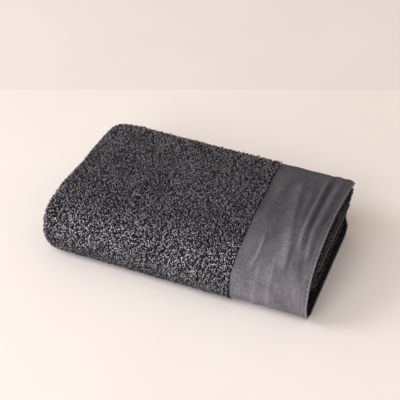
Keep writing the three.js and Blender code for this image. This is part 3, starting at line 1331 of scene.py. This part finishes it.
    def surface(self, hem: Array, across: Array, lift: float = 0.0) -> Array:
        """Points on the band's outer face, from the far edge to the far fold.

        Args:
            hem: distances from the hem.
            across: distances from the far edge.
            lift: extra height over the face.

        Returns:
            The points in layout millimetres.
        """
        fine = np.linspace(0, LAYOUT.fold_end, FINE)
        station = np.interp(across, self.across_of(fine), fine)
        height = self.relief(hem, across) + lift
        return LAYOUT.place(self.length_at(hem, across), self.outer_depth - height / LAYER_MM, station)

    def cloth(self) -> bpy.types.Object:
        """The band's sheet, marked with how raised or sunk it is, for painted light on its raised creases and
        painted shade in its sunk ones.

        Returns:
            The object.
        """
        hem, stations = self.columns()[None], self.stations()[:, None]
        across = self.across_of(stations)
        relief = self.relief(hem, across)
        outer = LAYOUT.place(self.length_at(hem, across), self.outer_depth - relief / LAYER_MM, stations)
        sunk = self.inner_depth - np.minimum(relief, 0) / LAYER_MM
        inner_x = self.length_at(np.maximum(hem, self.rim_width), across)
        inner = LAYOUT.place(inner_x, np.minimum(sunk, self.deepest_inner), stations)
        rim = np.exp(-hem / self.rim_width)[..., None]
        middle = (outer + inner) / 2
        outer, inner = (mix(face, middle, share * rim) for face, share in zip((outer, inner), self.rim_close))
        # Painted light on raised creases and painted shade in sunk ones, by how raised or sunk the band is.
        painted_shading = np.clip((relief - self.hem_rise * (hem < self.hem_width)) / self.crease_shading_height, -1, 1)
        marks = {"crease": np.concatenate([painted_shading, np.zeros_like(painted_shading)], axis=1).ravel()}
        return folded_sheet("woven_band", np.concatenate([outer, inner[:, ::-1]], axis=1), self.frame, marks)

    def stitch_starts(self) -> Array:
        """Where each stitch begins, as distances from the far edge."""
        end = self.across_of(LAYOUT.fold_end)
        return np.arange(self.stitch_first, end - self.stitch_length, self.stitch_pitch)

    def topstitch(self) -> bpy.types.Object:
        """The stitches along the hem.

        Returns:
            The object.
        """
        starts, rng = self.stitch_starts(), np.random.default_rng(7)
        share = np.linspace(-0.5, 0.5, self.stitch_rings)
        across = starts[:, None] + self.stitch_length * (0.5 + share)
        aside = rng.uniform(-self.stitch_wander, self.stitch_wander, len(starts))
        hem = self.stitch_from_hem + aside[:, None] + self.stitch_slant * share
        lift = self.stitch_rise * (1 - (2 * share) ** 4) - self.stitch_sink
        centre = self.surface(hem, across)
        normal = unit(self.surface(hem, across, 1.0) - centre)
        heading = unit(np.gradient(centre, axis=1))
        side = unit(np.cross(heading, normal))
        centre = centre + normal * lift[:, None]
        thin = self.stitch_radius * np.sqrt(1 - self.stitch_taper * (2 * share) ** 2)[:, None]
        points, faces = tubes_round(centre, side, normal, thin, self.stitch_sides)
        return mesh_object("hem_topstitch", self.frame.metres(points), faces, {})

    def needle_holes(self) -> bpy.types.Object:
        """Dark discs at each end of each stitch: painted shade standing in for the needle holes.

        Returns:
            The object.
        """
        starts, end = self.stitch_starts(), self.across_of(LAYOUT.fold_end)
        centres = np.concatenate([starts - self.hole_gap, starts + self.stitch_length + self.hole_gap])
        angle = 2 * math.pi * np.arange(self.hole_sides)[None] / self.hole_sides
        reach = self.hole_radius * self.hole_squash
        hem = self.stitch_from_hem + self.hole_out + reach * np.cos(angle)
        across = np.clip(centres[:, None] + self.hole_radius * np.sin(angle), 0, end)
        rim = self.surface(hem, across, self.hole_lift).reshape(-1, 3)
        faces = np.arange(len(rim)).reshape(-1, self.hole_sides)
        return mesh_object("needle_holes", self.frame.metres(rim), faces, {})


# Finishes


class Wire:
    """An output socket of a shader node, with arithmetic that adds Math nodes."""

    def __init__(self, graph: "Graph", socket: bpy.types.NodeSocket) -> None:
        """Keeps the socket and the graph that it is in."""
        self.graph = graph
        self.socket = socket

    def math(self, operation: str, *others: "Wire | float") -> "Wire":
        """A Math node with this value first."""
        return self.graph.add("ShaderNodeMath", {"operation": operation}, dict(enumerate((self, *others))))

    def __add__(self, other: "Wire | float") -> "Wire":
        """Sum."""
        return self.math("ADD", other)

    __radd__ = __add__

    def __sub__(self, other: "Wire | float") -> "Wire":
        """Difference."""
        return self.math("SUBTRACT", other)

    def __rsub__(self, other: float) -> "Wire":
        """A number less this value."""
        return self.graph.add("ShaderNodeMath", {"operation": "SUBTRACT"}, {0: other, 1: self})

    def __mul__(self, other: "Wire | float") -> "Wire":
        """Product."""
        return self.math("MULTIPLY", other)

    __rmul__ = __mul__

    def __pow__(self, other: float) -> "Wire":
        """Power."""
        return self.math("POWER", other)

    def sine(self) -> "Wire":
        """Sine of this value in radians."""
        return self.math("SINE")

    def clamped(self) -> "Wire":
        """This value kept between 0 and 1."""
        return self.graph.add("ShaderNodeClamp", {}, {"Value": self})

    def part(self, axis: str) -> "Wire":
        """The X, Y or Z of a vector."""
        return self.graph.add("ShaderNodeSeparateXYZ", {}, {"Vector": self}, axis)


Value = Wire | float | tuple[float, ...]


class Graph:
    """The node tree of one material."""

    def __init__(self, name: str) -> None:
        """Makes a material that holds only its Principled shader.

        Args:
            name: the material's name.
        """
        self.material = bpy.data.materials.new(name)
        self.material.use_nodes = True
        self.tree = self.material.node_tree
        self.shader = next(n for n in self.tree.nodes if n.type == "BSDF_PRINCIPLED")

    def add(self, kind: str, settings: dict[str, object], sockets: dict[str | int, Value],
            output: str | int = 0) -> Wire:
        """Adds a node.

        Args:
            kind: the node's type.
            settings: the node's own settings, set first.
            sockets: values or wires of its inputs, by name or number.
            output: the output that is wanted.

        Returns:
            The wire of that output.
        """
        node = self.tree.nodes.new(kind)
        for key, value in settings.items():
            setattr(node, key, value)
        self.join(node, sockets)
        return Wire(self, node.outputs[output])

    def join(self, node: bpy.types.Node, sockets: dict[str | int, Value]) -> None:
        """Sets or links a node's inputs.

        Args:
            node: the node.
            sockets: values or wires, by name or number.
        """
        for key, value in sockets.items():
            if isinstance(value, Wire):
                self.tree.links.new(value.socket, node.inputs[key])
            else:
                node.inputs[key].default_value = value

    def attribute(self, name: str, output: str = "Vector") -> Wire:
        """A named vector of the mesh or, at the output Fac, a named number."""
        return self.add("ShaderNodeAttribute", {"attribute_name": name}, {}, output)

    def place(self) -> Wire:
        """The point's place in the object."""
        return self.add("ShaderNodeTexCoord", {}, {}, "Object")

    def noise(self, vector: Wire, scale: float, detail: float = 3.0) -> Wire:
        """Noise from 0 to 1."""
        return self.add("ShaderNodeTexNoise", {}, {"Vector": vector, "Scale": scale, "Detail": detail})

    def stretched_noise(self, vector: Wire, scale: tuple[float, float], detail: float = 2.0) -> Wire:
        """Noise from 0 to 1, with scales of its own in the vector's first two directions."""
        scaled = self.add("ShaderNodeVectorMath", {"operation": "MULTIPLY"}, {0: vector, 1: (*scale, 1.0)})
        return self.noise(scaled, 1.0, detail)

    def blend(self, share: Value, first: Value, second: Value) -> Wire:
        """A colour between two."""
        return self.add("ShaderNodeMix", {"data_type": "RGBA"}, {0: share, 6: first, 7: second}, 2)

    def spread(self, value: Wire, low: float, high: float, to_low: float = 0.0, to_high: float = 1.0) -> Wire:
        """A value carried from one range to another and kept inside it."""
        sockets = {"Value": value, "From Min": low, "From Max": high, "To Min": to_low, "To Max": to_high}
        return self.add("ShaderNodeMapRange", {"clamp": True}, sockets)

    def bump(self, height: Wire, strength: float, distance: float) -> Wire:
        """A normal bent by a height."""
        return self.add("ShaderNodeBump", {}, {"Height": height, "Strength": strength, "Distance": distance})


@dataclass(frozen=True)
class ClothFinish:
    """What the finishes share: even shader values and the two colours they go between."""

    dark: Colour
    light: Colour
    sheen: float
    sheen_roughness: float
    sheen_tint: Colour = (0.82, 0.8, 0.86, 1.0)
    specular: float = 0.25

    def start(self, name: str) -> Graph:
        """A material with the even values set.

        Args:
            name: the material's name.

        Returns:
            Its graph.
        """
        graph = Graph(name)
        graph.join(graph.shader, {
            "Sheen Weight": self.sheen,
            "Sheen Roughness": self.sheen_roughness,
            "Sheen Tint": self.sheen_tint,
            "Specular IOR Level": self.specular,
        })
        return graph

    def close(self, graph: Graph, colour: Wire, roughness: Wire, normal: Wire) -> bpy.types.Material:
        """Joins what varies over the cloth to the shader.

        Args:
            graph: the material's graph.
            colour: its base colour.
            roughness: its roughness.
            normal: its bent normal.

        Returns:
            The material.
        """
        graph.join(graph.shader, {"Base Color": colour, "Roughness": roughness, "Normal": normal})
        return graph.material


@dataclass(frozen=True)
class LoopFinish(ClothFinish):
    """Cotton yarn of the loops: painted shade darkens each loop towards its root, and each loop has a tone of
    its own.
    """

    roughness: float = 0.9
    fibre_scale: float = 2600.0
    patch_scale: float = 26.0
    root_shade_power: float = 2.6
    tone_power: float = 1.6
    least_tone: float = 0.06
    least_painted_light: float = 0.58
    painted_light_gain: float = 0.66

    def material(self) -> bpy.types.Material:
        """The loops' material.

        Returns:
            The material.
        """
        graph = self.start("loop_yarn")
        loop = graph.attribute("loop")
        tone, share, painted_light = loop.part("X"), loop.part("Y"), loop.part("Z")
        patches = graph.spread(graph.noise(graph.place(), self.patch_scale), 0.3, 0.7)
        fibre = graph.noise(graph.place(), self.fibre_scale, 2.0)
        toned = self.least_tone + (1 - self.least_tone) * tone ** self.tone_power
        # Painted shade: each loop's colour darkens towards its root.
        amount = (share ** self.root_shade_power) * toned * (0.72 + 0.34 * patches)
        # Painted light and shade: paler on the towel's sides, darker on its top, near the floor and deep in
        # the folds.
        amount = amount * (self.least_painted_light + self.painted_light_gain * painted_light)
        amount = amount + 0.06 * (fibre - 0.5)
        colour = graph.blend(amount.clamped(), self.dark, self.light)
        return self.close(graph, colour, self.roughness - 0.12 * share, graph.bump(fibre, 0.5, 0.0004))


@dataclass(frozen=True)
class GroundFinish(ClothFinish):
    """Ground weave between the loops, knobbly; its near-black colour is the charcoal yarn darkened as painted
    shade between the loops.
    """

    knob_scale: float = 520.0
    uneven_scale: float = 60.0

    def material(self) -> bpy.types.Material:
        """The ground's material.

        Returns:
            The material.
        """
        graph = self.start("terry_ground")
        place = graph.place()
        settings, sockets = {"feature": "SMOOTH_F1"}, {"Vector": place, "Scale": self.knob_scale}
        knobs = graph.add("ShaderNodeTexVoronoi", settings, sockets)
        uneven = graph.noise(place, self.uneven_scale)
        height = 1 - graph.spread(knobs, 0.1, 0.75)
        amount = height * 0.7 + 0.3 * uneven - 0.15
        colour = graph.blend(amount.clamped(), self.dark, self.light)
        return self.close(graph, colour, 1.0 - 0.08 * height, graph.bump(height, 0.9, 0.0012))


@dataclass(frozen=True)
class WeaveFinish(ClothFinish):
    """Plain weave of the band, with slubs, painted light and shade on its creases, a painted highlight along
    the hem's edge, and threads that show up close.

    The cloth's second coordinate runs from the far edge. The band's colour is darkest on the top; painted
    light makes it paler down the near side, and painted shade darkens it again where it turns under.
    """

    thread_pitch: float = 0.00075
    slub: Colour = (0.29, 0.275, 0.31, 1.0)
    slub_scales: tuple[tuple[float, float], ...] = ((1500.0, 60.0), (60.0, 1500.0))
    mottle_scale: tuple[float, float] = (420.0, 420.0)
    cloud_scale: tuple[float, float] = (38.0, 30.0)
    # A painted highlight along the hem's edge, and painted light and shade on the creases.
    hem_edge: tuple[float, float] = (0.0012, 0.0028)
    hem_edge_highlight: float = 0.22
    crease_light_and_shade: float = 0.65
    # The next four values paint light down the near side and paint shade where the band turns under.
    painted_shading: tuple[float, float] = (0.09, 0.21)
    painted_shading_tones: tuple[float, float] = (0.36, 0.9)
    under: tuple[float, float] = (0.36, 0.4)
    under_painted_shade: float = 0.3

    def material(self) -> bpy.types.Material:
        """The band's material.

        Returns:
            The material.
        """
        graph = self.start("band_weave")
        cloth = graph.attribute("cloth")
        hem, across = cloth.part("X"), cloth.part("Y")
        turns = 2 * math.pi / self.thread_pitch
        threads = ((hem * turns).sine() * (across * turns).sine()) * 0.5 + 0.5
        slubs_across, slubs_along = (graph.stretched_noise(cloth, scale) for scale in self.slub_scales)
        mottle = graph.stretched_noise(cloth, self.mottle_scale, 4.0)
        cloud = graph.stretched_noise(cloth, self.cloud_scale)
        streaks = graph.spread(slubs_across * 0.5 + slubs_along * 0.5, 0.36, 0.64)
        amount = 0.1 * threads + 0.42 * streaks + 0.16 * graph.spread(mottle, 0.3, 0.7) + 0.42 * cloud - 0.07
        # Painted shade: darker where the band turns under.
        amount = amount * graph.spread(across, *self.under, 1.0, self.under_painted_shade)
        # Painted light: paler down the near side than on the top.
        least, gain = self.painted_shading_tones
        amount = amount * (least + gain * graph.spread(across, *self.painted_shading))
        # Painted light on raised creases, painted shade in sunk ones.
        amount = amount * (1 + self.crease_light_and_shade * graph.attribute("crease", "Fac"))
        # Painted highlight along the hem's edge.
        amount = amount + self.hem_edge_highlight * (1 - graph.spread(hem, *self.hem_edge))
        flecks = graph.spread(mottle * slubs_across, 0.38, 0.52) * 0.3
        body = graph.blend(amount.clamped(), self.dark, self.light)
        height = 0.5 * threads + 0.35 * slubs_across + 0.3 * slubs_along + 0.35 * mottle
        colour = graph.blend(flecks, body, self.slub)
        return self.close(graph, colour, 0.86 - 0.12 * streaks, graph.bump(height, 0.55, 0.0005))


@dataclass(frozen=True)
class ThreadFinish(ClothFinish):
    """Twisted sewing thread."""

    ply_pitch: float = 0.0006
    uneven_scale: float = 240.0

    def material(self) -> bpy.types.Material:
        """The thread's material.

        Returns:
            The material.
        """
        graph = self.start("sewing_thread")
        place = graph.place()
        along = place.part("X") + place.part("Y") + place.part("Z")
        ply = (along * (2 * math.pi / self.ply_pitch)).sine() * 0.5 + 0.5
        amount = 0.35 * ply + 0.65 * graph.noise(place, self.uneven_scale)
        colour = graph.blend(amount.clamped(), self.dark, self.light)
        return self.close(graph, colour, 0.6 + 0.15 * ply, graph.bump(ply, 0.5, 0.0002))


class Finish(Enum):
    """The towel's finishes: darkest and lightest colour, sheen and sheen roughness."""

    LOOPS = LoopFinish((0.002, 0.0018, 0.0024, 1), (0.8, 0.748, 0.848, 1), 0.12, 0.45)
    # The ground's near-black colours are the charcoal yarn darkened further as painted shade between the
    # loops.
    GROUND = GroundFinish((0.002, 0.002, 0.0024, 1), (0.016, 0.015, 0.017, 1), 0.0, 0.5)
    WEAVE = WeaveFinish((0.022, 0.0205, 0.0245, 1), (0.26, 0.244, 0.285, 1), 0.05, 0.4)
    THREAD = ThreadFinish((0.13, 0.122, 0.135, 1), (0.36, 0.342, 0.37, 1), 0.1, 0.4)
    # Painted shade standing in for the needle holes.
    HOLE_SHADE = ThreadFinish((0.006, 0.005, 0.006, 1), (0.015, 0.014, 0.015, 1), 0.0, 0.5)

    def dress(self, piece: bpy.types.Object) -> None:
        """Gives a piece this finish."""
        piece.data.materials.clear()
        piece.data.materials.append(self.value.material())


# Studio


class Lamp(NamedTuple):
    """A soft light: its direction from the object and height in degrees, its size, power and colour."""

    name: str
    turn: float
    rise: float
    size: float
    power: float
    colour: tuple[float, float, float]


class Ground(NamedTuple):
    """A part of the surface that the towel lies on, between two distances along the camera's heading."""

    name: str
    near: float
    far: float
    dark: Colour
    light: Colour


@dataclass
class Studio:
    """The camera at the photograph's angle, the pale floor and the soft light."""

    camera_at: tuple[float, float, float] = (0.4087, -1.0225, 0.9891)
    pitch: float = 40.0
    yaw: float = 21.65
    lens: float = 109.35
    sensor: float = 36.0
    camera_reach: float = 50.0
    floor_half: float = 7.0
    grounds: tuple[Ground, ...] = (
        Ground("floor", -7.0, 0.3208, (0.85, 0.8, 0.768, 1.0), (0.87, 0.825, 0.795, 1.0)),
        Ground("far_floor", 0.3208, 7.0, (0.8, 0.752, 0.722, 1.0), (0.82, 0.777, 0.748, 1.0)),
    )
    cloud_scale: float = 5.0
    surroundings: Colour = (1.0, 0.885, 0.8, 1.0)
    surroundings_strength: float = 0.57
    lamps: tuple[Lamp, ...] = (
        Lamp("key", -156, 34, 1.5, 53.0, (0.97, 0.98, 1.0)),
        Lamp("front", -98, 26, 1.5, 38.0, (0.96, 0.975, 1.0)),
        Lamp("over", -110, 60, 2.0, 17.0, (0.99, 0.98, 0.99)),
    )
    lamp_distance: float = 3.2

    def camera(self) -> None:
        """The camera."""
        made = bpy.data.objects.new("camera", bpy.data.cameras.new("camera"))
        bpy.context.scene.collection.objects.link(made)
        made.data.sensor_width = self.sensor
        made.data.lens = self.lens
        made.data.clip_end = self.camera_reach
        made.location = self.camera_at
        made.rotation_euler = (math.radians(90 - self.pitch), 0.0, math.radians(self.yaw))
        bpy.context.scene.camera = made

    def floor(self, ground: Ground) -> bpy.types.Object:
        """A wide part of the floor, square to the camera's heading.

        Args:
            ground: where it lies, and the colours that its soft clouds go between.

        Returns:
            The object.
        """
        half, near, far = self.floor_half, ground.near, ground.far
        corners = np.array([(-half, near, 0), (half, near, 0), (half, far, 0), (-half, far, 0)])
        made = mesh_object(ground.name, corners, np.array([[0, 1, 2, 3]]), {})
        made.rotation_euler = (0.0, 0.0, math.radians(self.yaw))
        graph = Graph(ground.name)
        cloud = graph.spread(graph.noise(graph.place(), self.cloud_scale), 0.35, 0.65)
        colour = graph.blend(cloud, ground.dark, ground.light)
        graph.join(graph.shader, {"Base Color": colour, "Roughness": 0.9, "Specular IOR Level": 0.1})
        made.data.materials.append(graph.material)
        return made

    def light(self, lamp: Lamp) -> None:
        """A square soft light that faces the object.

        Args:
            lamp: its sizes.
        """
        data = bpy.data.lights.new(lamp.name, "AREA")
        data.size, data.energy, data.color = lamp.size, lamp.power, lamp.colour
        made = bpy.data.objects.new(lamp.name, data)
        turn, rise = math.radians(lamp.turn), math.radians(lamp.rise)
        way = Vector((math.cos(turn) * math.cos(rise), math.sin(turn) * math.cos(rise), math.sin(rise)))
        made.location = way * self.lamp_distance
        made.rotation_euler = (-way).to_track_quat("-Z", "Y").to_euler()
        bpy.context.scene.collection.objects.link(made)

    def build(self) -> None:
        """Sets up the floor, the lights and the surroundings."""
        floor, far_floor = (self.floor(ground) for ground in self.grounds)
        for lamp in self.lamps:
            self.light(lamp)
        world = bpy.data.worlds.new("surroundings")
        world.use_nodes = True
        background = next(n for n in world.node_tree.nodes if n.type == "BACKGROUND")
        background.inputs["Color"].default_value = self.surroundings
        background.inputs["Strength"].default_value = self.surroundings_strength
        bpy.context.scene.world = world
        bpy.context.scene.view_settings.view_transform = "Standard"


# The towel


@dataclass
class Towel:
    """The whole folded towel."""

    flat: tuple[float, float] = (0.68, 1.30)
    band_flat: tuple[float, float] = (0.68, 0.0905)

    def build(self) -> None:
        """Builds, dresses and declares every piece."""
        placing = Frame(*CAD_BOUNDS)
        terry = TerryCloth(placing)
        ground = terry.build()
        self.declare(ground, Finish.GROUND)
        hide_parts("terry_towel")
        loops = Pile(placing, terry).build()
        for piece in loops:
            self.declare(piece, Finish.LOOPS)
        band = BorderBand(placing)
        weave, stitches, holes = band.cloth(), band.topstitch(), band.needle_holes()
        self.declare(weave, Finish.WEAVE)
        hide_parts("border_band")
        self.declare(stitches, Finish.THREAD)
        self.declare(holes, Finish.HOLE_SHADE)

    def declare(self, piece: bpy.types.Object, finish: Finish) -> None:
        """Dresses a piece, lets it ride with the towel and reports it.

        Args:
            piece: the piece.
            finish: what it is dressed in.
        """
        finish.dress(piece)
        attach(piece, "root")
        triangles = sum(len(face.vertices) - 2 for face in piece.data.polygons)
        LOG.info("%s: %d triangles", piece.name, triangles)


def main() -> None:
    """Builds the studio and the towel."""
    logging.basicConfig(level=logging.INFO, format="%(message)s")
    studio = Studio()
    studio.camera()
    Towel().build()
    studio.build()


if __name__ == "__main__":
    main()
